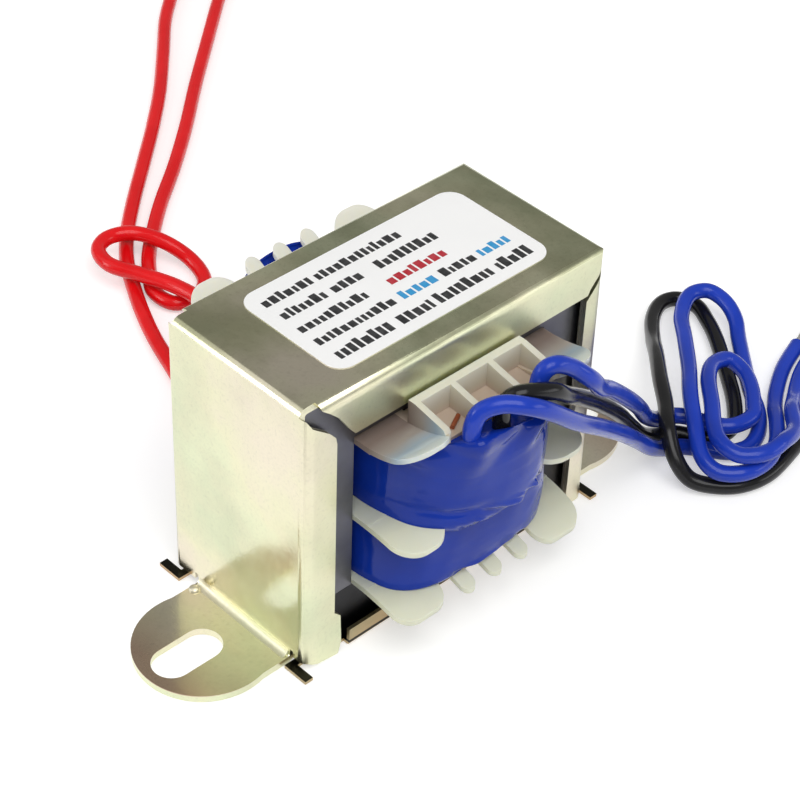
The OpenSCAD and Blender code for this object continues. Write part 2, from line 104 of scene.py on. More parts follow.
# %% Material tools
class Look:
    """A Principled material with short calls for the nodes it needs."""

    def __init__(self, name, **sockets):
        """Starts a material, with plain values for sockets, _ for a space."""
        self.material = bpy.data.materials.new(name)
        self.material.use_nodes = True
        self.tree = self.material.node_tree
        self.shader = self.tree.nodes["Principled BSDF"]
        for key, value in sockets.items():
            socket = self.shader.inputs[key.replace("_", " ")]
            if hasattr(value, "__len__") and len(value) == 3 and socket.type == "RGBA":
                value = (*value, 1)
            socket.default_value = value
        self.where = self.tree.nodes.new("ShaderNodeTexCoord").outputs["Object"]

    def fill(self, socket, value):
        """Links another node's output to a socket, or writes a plain value."""
        if isinstance(value, bpy.types.NodeSocket):
            self.tree.links.new(value, socket)
        else:
            socket.default_value = value

    def node(self, kind, inputs=None, **settings):
        """Adds a node with its inputs filled and its settings made."""
        n = self.tree.nodes.new("ShaderNode" + kind)
        for key, value in settings.items():
            setattr(n, key, value)
        for key, value in (inputs or {}).items():
            self.fill(n.inputs[key], value)
        return n

    def axis(self, name):
        """One Object coordinate, X, Y or Z, in metres."""
        return self.node("SeparateXYZ", {0: self.where}).outputs[name]

    def noise(self, scale, detail=3, stretch=(1, 1, 1)):
        """Noise about 0.5, with a feature about every 1 / scale metres."""
        place = self.node("Mapping", {"Vector": self.where, "Scale": stretch})
        return self.node("TexNoise", {"Vector": place.outputs[0], "Scale": scale,
                                      "Detail": detail, "Roughness": 0.55}).outputs["Fac"]

    def math(self, operation, a, b=0.0, c=0.0):
        """A Math node; MULTIPLY_ADD is a times b plus c."""
        return self.node("Math", {0: a, 1: b, 2: c}, operation=operation).outputs[0]

    def band(self, value, start, end):
        """0 where value is at start or below it, 1 at end, straight between."""
        return self.node("MapRange", {"Value": value, "From Min": start,
                                      "From Max": end}).outputs[0]

    def ramp(self, value, *stops):
        """Colours by value; each stop is a place with a colour or a grey."""
        n = self.node("ValToRGB", {"Fac": value})
        marks = n.color_ramp.elements
        while len(marks) < len(stops):
            marks.new(0.5)
        for mark, (place, colour) in zip(marks, stops):
            mark.position = place
            mark.color = (*colour, 1) if hasattr(colour, "__len__") else (colour,) * 3 + (1,)
        return n.outputs["Color"]

    def mix(self, share, a, b, blend="MIX"):
        """Colour a where share is 0 and b, or a blended with b, where it is 1."""
        n = self.node("Mix", data_type="RGBA", blend_type=blend)
        for index, value in ((0, share), (6, a), (7, b)):
            self.fill(n.inputs[index], (*value, 1) if isinstance(value, tuple) else value)
        return n.outputs[2]

    def bump(self, height, distance, strength=1.0, before=None):
        """A normal bent by height, on top of the bump before, if any."""
        inputs = {"Height": height, "Distance": distance, "Strength": strength}
        if before is not None:
            inputs["Normal"] = before
        return self.node("Bump", inputs).outputs["Normal"]

    def set(self, **sockets):
        """Links the shader's named sockets and returns the material."""
        for key, value in sockets.items():
            self.tree.links.new(value, self.shader.inputs[key.replace("_", " ")])
        return self.material


print("calls for nodes:", [name for name in vars(Look) if not name.startswith("_")])

# %% [markdown]
# ## Tools for meshes
# A new piece here is a grid of points that a formula gives, with a quad between
# each four neighbours. A shape could also be drawn with modelling operators,
# but a formula keeps its sizes readable and gives the same mesh on each run.


# %% Mesh tools
def mesh_of(name, points_mm, faces, smooth=True):
    """A mesh from points in millimetres and lists of corner numbers."""
    mesh = bpy.data.meshes.new(name)
    mesh.from_pydata((np.asarray(points_mm, float) / 1000).tolist(), [], faces)
    if smooth:
        mesh.shade_smooth()
    return mesh


def grid_faces(rows, cols):
    """Quads of a grid whose rows are rings: the last column joins the first."""
    i, j = np.meshgrid(np.arange(rows - 1), np.arange(cols), indexing="ij")
    k = (j + 1) % cols
    quads = np.stack([i * cols + j, i * cols + k, (i + 1) * cols + k, (i + 1) * cols + j], -1)
    return quads.reshape(-1, 4).tolist()


def joined(shapes):
    """Pairs of points and faces as one pair: each shape's corner numbers are
    raised by the number of points before it."""
    points, faces, before = [], [], 0
    for own_points, own_faces in shapes:
        faces += [[before + corner for corner in face] for face in own_faces]
        points.append(own_points)
        before += len(own_points)
    return np.vstack(points), faces


def face_outwards(mesh):
    """Turns the faces of closed shapes so that every one points outwards."""
    work = bmesh.new()
    work.from_mesh(mesh)
    bmesh.ops.recalc_face_normals(work, faces=work.faces)
    work.to_mesh(mesh)
    work.free()
    mesh.shade_smooth()


print("a ringed grid of 3 by 4 points has", len(grid_faces(3, 4)), "faces")

# %% [markdown]
# ## Tools for pieces
# Nothing on this object moves, so every piece rides on the one rigid body. A
# pressed or moulded part can be modelled again, or the CAD node's own mesh can
# be copied and finished. The copy is used wherever the form is already right:
# its doubled points are merged, its flat faces are joined, and a fine bevel
# gives the edges the small radius that catches the light.

# %% Piece tools
SHARP = math.radians(35)


def piece(name, data, material, slot, *nodes):
    """Adds mesh or curve data to the scene as a piece of the transformer."""
    obj = bpy.data.objects.new(name, data)
    bpy.context.collection.objects.link(obj)
    if not data.materials:
        data.materials.append(material)
    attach(obj, "root")
    if nodes:
        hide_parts(*nodes)
    return obj


def cleaned(node):
    """A copy of a CAD node's mesh, merged, with its flat faces joined."""
    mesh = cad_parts[node].data.copy()
    mesh.materials.clear()
    work = bmesh.new()
    work.from_mesh(mesh)
    bmesh.ops.remove_doubles(work, verts=work.verts, dist=2e-6)
    bmesh.ops.dissolve_limit(work, angle_limit=math.radians(0.5), verts=work.verts,
                             edges=work.edges)
    work.to_mesh(mesh)
    work.free()
    mesh.shade_smooth()
    mesh.set_sharp_from_angle(angle=SHARP)
    return mesh


def from_node(name, node, material, slot, edge_mm):
    """A piece with a CAD node's shape and worn, rounded edges."""
    obj = piece(name, cleaned(node), material, slot, node)
    bevel = obj.modifiers.new("edges", "BEVEL")
    bevel.width = edge_mm / 1000
    bevel.segments = 2
    bevel.limit_method = "ANGLE"
    bevel.angle_limit = SHARP
    bevel.harden_normals = True
    return obj


# %% [markdown]
# ## Routes of the leads
# Three leads leave the comb at the front, drop to the surface, are looped
# together and run on. Two leave the lower winding at the back, and one of them
# is knotted round the other. A lead could be dropped by a simulation, but then
# its loops would fall somewhere else on each run. Here each route is the CAD
# model's own list of points, given to half a millimetre, and a
# Catmull-Rom curve carries the lead smoothly through them.

# %% Lead routes
ROUTES_MM = {
    "blue_lead_1": [(-6, -20.7, 31.4), (-6, -20.7, 34.5), (-5, -21, 36.5),
        (-3, -22.5, 37.5), (-0.5, -24.5, 37), (3, -25, 34.5), (9, -24, 29),
        (17, -21.5, 22), (24, -19, 15.5), (30.5, -16.5, 9), (35, -15.5, 4.5),
        (38.5, -15, 2), (41.5, -16, 1.2), (43.5, -18.5, 1.2), (45.5, -21, 1.2),
        (48, -22, 1.2), (50.5, -21.5, 1.2), (53, -20, 1.2), (55.5, -17.5, 1.2),
        (58.5, -13.5, 1.2), (65, -6, 1.5), (67.5, -3, 2.5), (68.5, 0, 3.5), (68, 3, 4),
        (65, 4, 4), (60.5, 1.5, 4), (56, -3, 5), (50.5, -8.5, 6), (45, -13.5, 7),
        (41, -18, 6.5), (38.5, -21.5, 5), (38.5, -24.5, 4), (41, -27, 4), (45, -27.5, 4),
        (49, -26, 4), (53.5, -22.5, 3), (57.5, -19, 1.5), (61, -16.5, 1.2),
        (65.5, -14, 1.2), (71, -12, 1.2)],
    "black_lead": [(-1, -20.7, 31.4), (-1, -20.7, 34.5), (-0.5, -21.5, 36.5),
        (1, -22.5, 37), (4.5, -23.5, 36), (7.5, -23, 33.5), (12, -21, 29.5),
        (19.5, -18, 22.5), (27.5, -15, 14.5), (33, -13, 8), (37, -12, 3.5), (40, -12, 1.5),
        (42.5, -13, 1.2), (44, -15, 1.2), (45.5, -17, 1.2), (48, -18, 1.2),
        (50.5, -17.5, 1.2), (52.5, -16, 1.2), (55, -13.5, 1.2), (57.5, -10.5, 1.2),
        (63, -3.5, 1.2), (65.5, 0.5, 1.2), (67, 4, 1.2), (66, 7, 1.2), (63, 7.5, 1.5),
        (59, 5.5, 2), (54.5, 1.5, 3), (50, -3, 5), (45, -8, 6.5), (41, -12.5, 7),
        (37.5, -16, 7), (36, -19, 4.5), (36.5, -21.5, 2), (38.5, -24, 1.2),
        (41.5, -26.5, 1.2), (46, -27.5, 1.2), (52, -26.5, 1.2), (57, -25, 1.2),
        (62.5, -22.5, 1.2), (68.5, -20, 1.2)],
    "blue_lead_2": [(5, -20.7, 31.4), (5, -20.7, 35), (5.5, -21, 37), (7, -21.5, 37.5),
        (9.5, -22, 36), (12, -23, 33.5), (15, -22, 30), (19, -20.5, 26.5), (25.5, -18, 20),
        (32, -15, 13), (37, -12.5, 7), (40, -12, 4.5), (42.5, -12.5, 4), (44, -14, 4),
        (45, -16.5, 4), (46.5, -19, 4), (48.5, -20, 4), (51, -20, 4), (53, -18.5, 4),
        (55.5, -16, 4), (57.5, -13, 4), (57.5, -10, 4.5), (54, -10, 5.5), (50, -12.5, 6.5),
        (46, -16.5, 7), (42.5, -20, 7), (40.5, -23, 7), (41, -26, 6.5), (44, -28, 6.5),
        (47.5, -28, 6.5), (52, -26.5, 5), (56, -23, 4), (60.5, -20, 2), (65.5, -17, 1.5),
        (70.5, -15, 1.2), (75.5, -13.5, 1.2)],
    "red_lead_1": [(-6, 20, 9.6), (-6, 20, 7.5), (-6, 21.5, 5), (-5.5, 25, 3),
        (-4.5, 31, 1.5), (-2, 38, 1.2), (0, 44, 1.2), (2, 50, 1.2), (4.5, 56, 1.2),
        (7.5, 62, 1.2), (11, 68, 1.2), (15.5, 73.5, 1.2), (21.5, 79.5, 1.2),
        (28.5, 86, 1.2), (36, 93, 1.2), (44, 101, 1.2), (52, 110, 1.2), (59, 118, 1.2),
        (67, 125.5, 1.2)],
    "red_lead_2": [(0, 20, 9.6), (0, 20, 7.5), (0.5, 21.5, 5), (1.5, 25, 3), (3.5, 31, 2),
        (6.5, 37, 2), (9, 43, 3), (10.5, 49, 4), (10, 55, 4), (8, 60.5, 4), (6, 65.5, 4),
        (7, 69.5, 4), (10, 71, 4), (13.5, 69.5, 4), (16, 65.5, 3.5), (17.5, 61, 2),
        (16.5, 56.5, 1.2), (13, 54, 1.2), (9.5, 55, 1.2), (9, 59, 1.2), (11, 62.5, 1.2),
        (14, 66.5, 1.2), (18.5, 71, 1.2), (24, 76, 1.2), (32, 82.5, 1.2), (40.5, 90, 1.2),
        (49.5, 98.5, 1.2), (60, 108, 1.2), (70, 117, 1.2), (76, 122, 1.2)],
}


def smooth_route(points, steps=8):
    """Catmull-Rom curve: between points b and c, with a before and d after, it
    is half of 2b + (c - a)t + (2a - 5b + 4c - d)t^2 + (3b - a - 3c + d)t^3, with
    t from 0 to 1 in equal steps."""
    p = np.asarray(points, float)
    p = np.vstack([2 * p[0] - p[1], p, 2 * p[-1] - p[-2]])
    a, b, c, d = (p[i:len(p) - 3 + i, None] for i in range(4))
    t = (np.arange(steps) / steps)[None, :, None]
    curve = 0.5 * (2 * b + (c - a) * t + (2 * a - 5 * b + 4 * c - d) * t**2
                   + (3 * b - a - 3 * c + d) * t**3)
    return np.vstack([curve.reshape(-1, 3), p[-2:-1]])


paths_mm = {lead: smooth_route(points) for lead, points in ROUTES_MM.items()}
for lead, path in paths_mm.items():
    stretches = np.linalg.norm(np.diff(path, axis=0), axis=1)
    print(lead, "is", round(stretches.sum(), 1), "mm long")

# %% [markdown]
# ## Lead material
# The sleeve of a lead is extruded PVC: smooth, with a low sheen, and dented and
# scuffed a little by handling. Flat colour with even gloss would look like
# painted wire, so three faint noises vary the tint, the gloss and the surface.

# %% Lead material
PVC_COLOURS = {"blue_pvc": (0.010, 0.044, 0.44), "black_pvc": (0.008, 0.008, 0.009),
               "red_pvc": (0.74, 0.005, 0.008)}


def insulation(name, colour):
    """PVC with a soft sheen, faint dents and small scuffs."""
    look = Look(name, Roughness=0.3, IOR=1.5, Specular_IOR_Level=0.32)
    paler = tuple(min(1, 1.15 * c + 0.004) for c in colour)
    return look.set(
        Base_Color=look.ramp(look.noise(150, 4), (0.35, colour), (0.75, paler)),
        Roughness=look.ramp(look.noise(300, 2), (0.35, 0.14), (0.7, 0.26)),
        Normal=look.bump(look.noise(170, 0), 0.0002, 0.3))


pvc = {name: insulation(name, colour) for name, colour in PVC_COLOURS.items()}
print("sleeves:", list(pvc))

# %% [markdown]
# ## Stripped ends
# The last five millimetres of each lead are stripped and tinned, and show the
# strands. A plain rod with a twisted bump would do from afar. Seven thin tubes
# are made instead, six wound round a middle one, because their outline shows
# against the pale floor.

# %% Stripped ends
STRANDS = 6
STRAND_R_MM = 0.21
STRAND_RING_MM = 0.42
TWIST_PER_MM = 1.1
STRIPPED_MM = (-0.4, 4.9)

tin = Look("tinned_copper", Base_Color=(0.62, 0.62, 0.6), Metallic=1.0, Roughness=0.3)
tin_material = tin.set(Normal=tin.bump(tin.noise(2500, 2), 0.00004, 0.5))


def carried(side, ahead):
    """One sideways direction for each direction ahead: the last one less the
    part of it that runs ahead, at length 1, so a tube's rings don't twist."""
    sides = []
    for way in ahead:
        side = side - way * (side @ way)
        side /= np.linalg.norm(side)
        sides.append(side)
    return np.array(sides)


def tube(path, radius, sides=8):
    """A closed tube. The ring at each point of the path is the point plus
    radius times (cos k side + sin k other), for angles k all round, where side
    and other are square to the path and to each other."""
    ahead = np.gradient(path, axis=0)
    ahead /= np.linalg.norm(ahead, axis=1)[:, None]
    side = carried(np.cross(ahead[0], (0.3, 0.2, 0.9)), ahead)
    other = np.cross(ahead, side)
    k = (np.arange(sides) * 2 * np.pi / sides)[None, :, None]
    rings = path[:, None] + radius * (np.cos(k) * side[:, None] + np.sin(k) * other[:, None])
    last = (len(path) - 1) * sides
    ends = [list(range(sides))[::-1], list(range(last, last + sides))]
    return rings.reshape(-1, 3), grid_faces(len(path), sides) + ends


def stranded_tip(name, path, node):
    """Twisted strands that carry on straight from the end of a lead. A strand
    is start + s way + ring (cos turn side + sin turn other), where s is the
    distance along the end and turn grows with s. The middle one has no ring."""
    start, way = path[-1], path[-1] - path[-3]
    way = way / np.linalg.norm(way)
    side = np.cross(way, (0, 0, 1))
    side /= np.linalg.norm(side)
    other = np.cross(way, side)
    s = np.linspace(*STRIPPED_MM, 24)[:, None]
    strands = []
    for k in range(STRANDS + 1):
        ring = STRAND_RING_MM if k < STRANDS else 0
        turn = k * 2 * np.pi / STRANDS + TWIST_PER_MM * s
        line = start + s * way + ring * (np.cos(turn) * side + np.sin(turn) * other)
        strands.append(tube(line, STRAND_R_MM))
    mesh = mesh_of(name, *joined(strands))
    return piece(name, mesh, tin_material, "tinned_copper", node)


print("a stripped end is", STRIPPED_MM[1], "mm long, with", STRANDS + 1, "strands")

# %% [markdown]
# ## Leads
# Each lead is one length of wire, bare at its far end. A mesh swept along the
# route and a curve with a round bevel give the same tube. The curve is used,
# because its radius and its caps are one setting each.

# %% Leads
LEAD_D_MM = 2.3
# lead: the CAD node of its bare end, its length in metres, its sleeve
LEADS = {
    "blue_lead_1": ("blue_tip_1", 0.195, "blue_pvc"),
    "black_lead": ("black_tip", 0.189, "black_pvc"),
    "blue_lead_2": ("blue_tip_2", 0.150, "blue_pvc"),
    "red_lead_1": ("red_tip_1", 0.136, "red_pvc"),
    "red_lead_2": ("red_tip_2", 0.184, "red_pvc"),
}


def round_curve(name, path):
    """A curve with a round bevel and closed ends, along a path in mm."""
    curve = bpy.data.curves.new(name, "CURVE")
    curve.dimensions = "3D"
    curve.bevel_depth = LEAD_D_MM / 2000
    curve.bevel_resolution = 6
    curve.use_fill_caps = True
    spline = curve.splines.new("POLY")
    spline.points.add(len(path) - 1)
    spline.points.foreach_set("co", np.c_[path / 1000, np.ones(len(path))].ravel())
    spline.use_smooth = True
    return curve


for lead, (tip_node, length, slot) in LEADS.items():
    path = paths_mm[lead]
    tip = stranded_tip(lead + "_strands", path, tip_node)
    cable = piece(lead + "_cable", round_curve(lead, path), pvc[slot], slot, lead)
    print(cable.name, "ends at", [round(float(v)) for v in path[-1]], "mm, in", tip.name)

# %% [markdown]
# ## Steel
# The channel is a strip of zinc-plated steel with a yellow passivate on it. The
# film is thin, so the colour drifts between cream, green and pink, and the
# press leaves soft ripples that bend the reflections. One plain metal with a
# low roughness would look like chrome. So several noises are laid over each
# other: for the film's colour, for clouds and specks in it, for darker blotches
# on the top sheet that are a painted reflection, for the gloss, and for the
# ripple and a fine grain. The closing plate has a browner film, and its upper
# face, seen at its ears, is painted nearly black as painted shade and dark reflection.

# %% Steel materials
FEET_FILM = (0.0335, 0.0425)  # X, noise added, where the browner film starts and is full
FOOT_TOP = 0.0009  # Z just under the feet's upper faces
TOP_SHEET = 0.0408  # Z inside the channel's top sheet
LIP_SHEET = -0.0121  # Y inside the sheet of the front lips
# The closing plate's upper face between these heights is painted nearly black, as painted shade
# and dark reflection.
EAR_TOP = (0.00047, 0.00094)  # Z round the closing plate's upper face, seen at its ears


def film(look, cream, green, pink, tip):
    """The passivate's colour by a wide noise, with tip at the feet's ends."""
    middle = look.ramp(look.noise(38, 4), (0.36, green), (0.5, cream), (0.64, pink))
    out = look.math("ABSOLUTE", look.axis("X"))
    out = look.math("MULTIPLY_ADD", look.noise(60, 3), 0.006, out)
    above = look.math("GREATER_THAN", look.axis("Z"), FOOT_TOP)
    return look.mix(look.math("MULTIPLY", look.band(out, *FEET_FILM), above), middle, tip)


def marks_and_top_reflection(look, colour):
    """Darkens a colour by wide clouds and fine specks, and on the top sheet by darker blotches
    that are a painted reflection.
    """
    cloud = look.ramp(look.noise(45, 5), (0.3, 0.8), (0.5, 0.96), (0.7, 1.0))
    specks = look.ramp(look.noise(2200, 4), (0.3, 0.7), (0.45, 0.95), (0.7, 1.0))
    # Painted reflection: darker blotches on the top sheet only, for the mottled dark reflection
    # there.
    top_reflection_blotches = look.ramp(look.noise(75, 5, (1, 0.7, 1)), (0.38, (0.52, 0.53, 0.46)), (0.62, 1.0))
    on_top = look.math("GREATER_THAN", look.axis("Z"), TOP_SHEET)
    colour = look.mix(1.0, colour, cloud, "MULTIPLY")
    colour = look.mix(0.3, colour, specks, "MULTIPLY")
    return look.mix(look.math("MULTIPLY", on_top, 0.75), colour, top_reflection_blotches, "MULTIPLY")


def painted_shade_on_ears(look, colour):
    """Painted shade: nearly black on the closing plate's upper face, seen at its ears, for the
    shade and dark reflection there.
    """
    above = look.math("GREATER_THAN", look.axis("Z"), EAR_TOP[0])
    below = look.math("LESS_THAN", look.axis("Z"), EAR_TOP[1])
    return look.mix(look.math("MULTIPLY", above, below), colour, (0.03, 0.028, 0.02))


def plated(name, colours, rough_low, rough_high, ears=False):
    """Passivated zinc, rougher on the front lips, with a ripple and a grain."""
    look = Look(name, Metallic=1.0, Roughness=0.2)
    colour = marks_and_top_reflection(look, film(look, *colours))
    # With ears, the plate's upper face gets painted shade.
    if ears:
        colour = painted_shade_on_ears(look, colour)
    rough = look.ramp(look.noise(240, 5), (0.3, rough_low), (0.75, rough_high))
    front = look.math("LESS_THAN", look.axis("Y"), LIP_SHEET)
    ripple = look.bump(look.noise(55, 2), 0.0006, 0.35)
    return look.set(Base_Color=colour, Roughness=look.math("MULTIPLY_ADD", front, 0.16, rough),
                    Normal=look.bump(look.noise(1600, 4), 0.000012, 0.6, ripple))


# colours: cream, green, pink and the film at the feet's ends
zinc = plated("plated_steel", ((0.81, 0.79, 0.56), (0.75, 0.79, 0.55), (0.82, 0.75, 0.60),
                               (0.62, 0.46, 0.34)), 0.13, 0.27)
brown = plated("plate_steel", ((0.55, 0.42, 0.24), (0.42, 0.37, 0.22), (0.5, 0.34, 0.2),
                               (0.4, 0.32, 0.2)), 0.2, 0.36, ears=True)
worn = plated("worn_steel", ((0.80, 0.78, 0.58), (0.74, 0.77, 0.56), (0.78, 0.72, 0.58),
                             (0.62, 0.46, 0.34)), 0.42, 0.55)
print("steel finishes:", [m.name for m in (zinc, brown, worn)])

# %% [markdown]
# ## Channel and closing plate
# The channel is folded from one sheet and closed below by a thin plate with
# hooked ears. Their CAD shapes are already right, so both are copies with
# rounded edges, the channel's more than the plate's, whose sheet is thinner.

# %% Channel and plate
channel = from_node("channel", "frame_bracket", zinc, "plated_steel", 0.2)
plate = from_node("closing_plate", "bottom_plate", brown, "plate_steel", 0.08)
for obj in (channel, plate):
    print(obj.name, "has", len(obj.data.polygons), "faces before its bevel")

# %% [markdown]
# ## Marks of the press
# Folding leaves a small radius inside the bend of each foot, and a punch has
# left a raised mark beside one bend. The copied mesh has a sharp inner corner
# there, and a bevel can't add metal to it. So a fillet is laid into each
# corner, and the mark is the upper part of a small ellipsoid.

# %% Press marks
LEG_FACE_MM = 25  # X of the outer face of the channel's legs
SHEET_MM = 1  # thickness of the channel's sheet, and Z of the feet's upper faces
TUCK_MM = 0.1  # how far a fillet reaches into the sheet


def bend_fillet(sign, r=1.0, ends=(-9.6, 7.4)):
    """Fills the inside of a foot's bend along Y. Its curved face is a quarter
    circle of radius r that touches the leg and the foot, and its other faces
    are tucked into the sheet."""
    a = np.linspace(-np.pi / 2, 0, 12)
    leg, foot = LEG_FACE_MM - TUCK_MM, SHEET_MM - TUCK_MM
    x = np.append(LEG_FACE_MM + r - r * np.cos(a), [leg, leg, LEG_FACE_MM + r])
    z = np.append(SHEET_MM + r + r * np.sin(a), [SHEET_MM + r, foot, foot])
    rows = [np.stack([sign * x, np.full_like(x, y), z], -1) for y in ends]
    n = len(x)
    caps = [list(range(n)), list(range(n, 2 * n))[::-1]]
    return np.vstack(rows), grid_faces(2, n) + caps


def dimple(centre, radii, rows=9, cols=20):
    """A raised mark: the centre plus the radii times (cos a cos k, cos a sin k,
    sin a), with a from a little under the sheet's face to just short of the
    pole, which a flat face closes, and k all round."""
    a = np.linspace(-0.3, np.pi / 2 - 0.05, rows)[:, None]
    k = np.linspace(0, 2 * np.pi, cols, endpoint=False)[None, :]
    unit = np.stack([np.cos(a) * np.cos(k), np.cos(a) * np.sin(k), np.sin(a) + 0 * k], -1)
    points = np.asarray(centre) + np.asarray(radii) * unit.reshape(-1, 3)
    top = (rows - 1) * cols
    caps = [list(range(cols))[::-1], list(range(top, top + cols))]
    return points, grid_faces(rows, cols) + caps


mark = dimple(centre=(-26.3, 7.0, SHEET_MM), radii=(0.8, 0.8, 0.55))
mesh = mesh_of("pressed_details", *joined([bend_fillet(-1), bend_fillet(1), mark]))
face_outwards(mesh)
mesh.set_sharp_from_angle(angle=math.radians(40))
piece("pressed_details", mesh, worn, "plated_steel")
print("press marks:", len(mesh.vertices), "points")

# %% [markdown]
# ## Core
# The core is a stack of thin sheets of rolled silicon steel, E shapes and I
# shapes. Each sheet could be a mesh, some forty of them, but only their cut
# edges show. The stack stays one solid, and a sine of the Y coordinate draws
# the edges as a bump, one line every half millimetre.

# %% Core
SHEET_PITCH = 0.0005


def sheets(name, low, high, rough):
    """Cut silicon steel: a bump of sin(2 pi Y / pitch) shows the sheets."""
    look = Look(name, Metallic=1.0, Roughness=rough)
    lines = look.math("SINE", look.math("MULTIPLY", look.axis("Y"), 2 * math.pi / SHEET_PITCH))
    edges = look.bump(lines, 0.00008, 0.6)
    return look.set(Base_Color=look.ramp(look.noise(120, 5), (0.3, low), (0.7, high)),
                    Normal=look.bump(look.noise(900, 4, (1, 1, 6)), 0.00002, 0.5, edges))


# Painted shade: the core's grey is darker than bare silicon steel, partly for the tape's shadow
# and reflection over it, and the bottom I stack is painted nearly black for the shade under the
# bobbin.
silicon = sheets("silicon_steel", (0.13, 0.13, 0.15), (0.2, 0.2, 0.22), 0.42)
core_in_painted_shade = sheets("dark_steel", (0.02, 0.02, 0.022), (0.05, 0.05, 0.055), 0.38)
for node in ("laminations_e_up", "laminations_e_down", "laminations_i_top"):
    from_node(node + "_stack", node, silicon, "silicon_steel", 0.05)
from_node("laminations_i_bottom_stack", "laminations_i_bottom", core_in_painted_shade, "dark_steel", 0.05)
core_low, core_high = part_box("laminations_e_up")
print("the core is", round(1000 * (core_high[1] - core_low[1]), 1), "mm deep")

# %% [markdown]
# ## Bobbin
# The bobbin is moulded in natural nylon, which lets some light through. Where
# the flanges pass over the blue tape their roots look blue-grey, and their tips
# are milky. Full transmission would show this by itself, but it is slow and
# noisy in thin walls. A little subsurface light is used, and the rest is painted
# into the colour by how far a point is from the middle of the stack: painted
# shade at the lobes' roots and in the comb's pockets, the tape's blue painted as
# showing through, and a paler back for the light through its lobes.

# %% Bobbin
ROOT_TO_TIP = (0.0145, 0.0235)  # distance from the middle in Y, noise added, along a lobe
UPPER_FLANGE = 0.0305  # Z just below the upper flange
COMB_HALF = 0.0093  # half the comb's width in X
POCKET = (0.0318, 0.0362)  # Z just below the comb's floor and just above its rim
# Behind this Y the nylon is one even, paler colour: painted light through the back lobes,
# without the front's painted root shade.
BACK = 0.012  # Y where the back's even, paler nylon starts
BACK_PAINTED_LIGHT = (0.84, 0.83, 0.74)


def lobe_colour(look):
    """From root to tip of a lobe. On the upper flange: painted shade, brown,
    at the root, then the tape's blue-grey painted as showing through, then
    milky. On the others: painted shade, a darker grey, at the root, then milky."""
    far = look.math("MULTIPLY_ADD", look.noise(130, 3), 0.003,
                    look.math("ABSOLUTE", look.axis("Y")))
    share = look.band(far, *ROOT_TO_TIP)
    upper = look.ramp(share, (0.0, (0.26, 0.2, 0.17)), (0.3, (0.4, 0.36, 0.33)),
                      (0.55, (0.36, 0.45, 0.53)), (0.75, (0.66, 0.72, 0.70)),
                      (1.0, (0.80, 0.82, 0.74)))
    lower = look.ramp(share, (0.0, (0.58, 0.60, 0.5)), (0.4, (0.74, 0.75, 0.57)),
                      (1.0, (0.80, 0.81, 0.65)))
    return look.mix(look.math("GREATER_THAN", look.axis("Z"), UPPER_FLANGE), lower, upper)


def comb_colour(look):
    """Painted shade in the pockets: darker pink-brown on their floor, milky at the rim."""
    return look.ramp(look.band(look.axis("Z"), *POCKET), (0.0, (0.5, 0.37, 0.29)),
                     (0.35, (0.55, 0.5, 0.39)), (1.0, (0.80, 0.79, 0.68)))


def inside_comb(look):
    """1 in the front comb: near the middle in X, above the flange, in front."""
    near = look.math("LESS_THAN", look.math("ABSOLUTE", look.axis("X")), COMB_HALF)
    above = look.math("GREATER_THAN", look.axis("Z"), UPPER_FLANGE)
    front = look.math("LESS_THAN", look.axis("Y"), 0)
    return look.math("MULTIPLY", near, look.math("MULTIPLY", above, front))


nylon = Look("nylon", Roughness=0.35, IOR=1.53, Subsurface_Weight=0.4,
             Subsurface_Radius=(0.0009, 0.0008, 0.0006), Subsurface_Scale=1.0)
front_colour = nylon.mix(inside_comb(nylon), lobe_colour(nylon), comb_colour(nylon))
behind = nylon.math("GREATER_THAN", nylon.axis("Y"), BACK)
nylon_material = nylon.set(
    Base_Color=nylon.mix(behind, front_colour, BACK_PAINTED_LIGHT),
    Normal=nylon.bump(nylon.noise(300, 3), 0.00006, 0.5),
    Roughness=nylon.ramp(nylon.noise(500, 3), (0.3, 0.28), (0.7, 0.45)))
bobbin = from_node("moulded_bobbin", "bobbin", nylon_material, "nylon", 0.18)
print("the bobbin has", len(bobbin.data.polygons), "faces before its bevel")

# %% [markdown]
# ## Windings
# Two coils of enamelled copper fill the bobbin's chambers. Each turn could be a
# curve, but the tape hides all but the rims, so the CAD's own rings stay and a
# fine sine bump stands for the turns. A short bare end shows in the comb.

# %% Windings
WIRE_PITCH = 0.0003

enamel = Look("enamelled_copper", Metallic=0.85, Roughness=0.28, Coat_Weight=0.6,
              Coat_Roughness=0.1)
turns = enamel.math("SINE", enamel.math("MULTIPLY", enamel.axis("Z"), 2 * math.pi / WIRE_PITCH))
enamel_material = enamel.set(
    Base_Color=enamel.ramp(enamel.noise(300, 3), (0.3, (0.38, 0.07, 0.03)),
                           (0.7, (0.62, 0.2, 0.08))),
    Normal=enamel.bump(turns, 0.00006, 0.5))
for node in ("primary_winding", "secondary_winding", "winding_tail"):
    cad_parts[node].data.materials.clear()
    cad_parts[node].data.materials.append(enamel_material)
    print(node, "is finished in", enamel_material.name)

# %% [markdown]
# ## Tape material
# The tape is glossy blue polyester film. A pure mirror finish shows every light
# as a hard shape, which film under slight tension does not. So two bumps bend
# the reflections, one wide and low along the layers and one fine.

